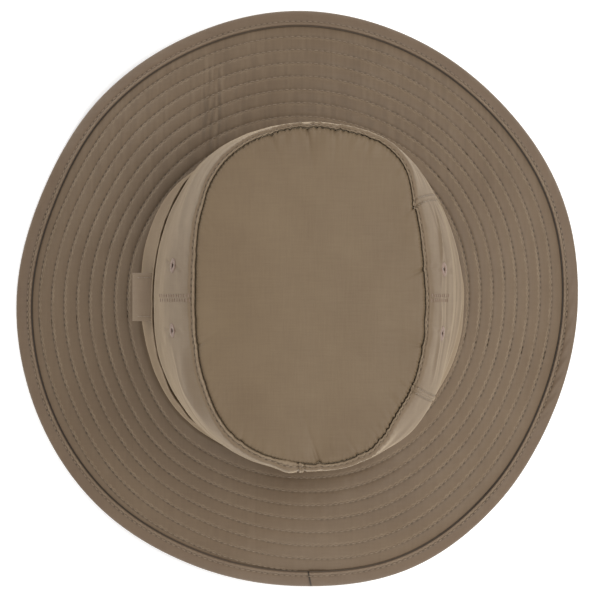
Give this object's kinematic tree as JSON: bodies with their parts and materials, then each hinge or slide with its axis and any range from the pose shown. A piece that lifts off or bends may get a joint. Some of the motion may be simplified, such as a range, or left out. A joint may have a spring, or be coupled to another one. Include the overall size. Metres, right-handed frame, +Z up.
{
  "type": "outback hat",
  "caption": "Soft cloth hat with an oval flat-topped crown, a band round its foot, a side tab, vent eyelets and a wide stitched brim with a bound edge.",
  "frame": {"origin": "on the surface the hat rests on, under the middle of its outline", "axes": "+Z up through the crown, +Y towards the front of the hat, +X towards the wearer's right"},
  "size_m": [0.3308, 0.3348, 0.1386],
  "materials": {
    "crown_cloth": "taupe woven nylon with a soft satin sheen",
    "brim_cloth": "taupe woven nylon in two layers, stitched through in one spiral",
    "binding_tape": "taupe woven nylon tape, folded and stitched",
    "label_cloth": "plain taupe woven tab",
    "eyelet_thread": "slightly lighter sewing thread"
  },
  "bodies": {
    "root": {"crown_tip": "crown_cloth", "side_wall_left": "crown_cloth", "side_wall_back": "crown_cloth", "side_wall_right": "crown_cloth", "hat_band": "crown_cloth", "brim": "brim_cloth", "brim_binding": "binding_tape", "label_tab": "label_cloth", "eyelet_left_front": "eyelet_thread", "eyelet_left_back": "eyelet_thread", "eyelet_right_front": "eyelet_thread", "eyelet_right_back": "eyelet_thread"}
  },
  "joints": []
}
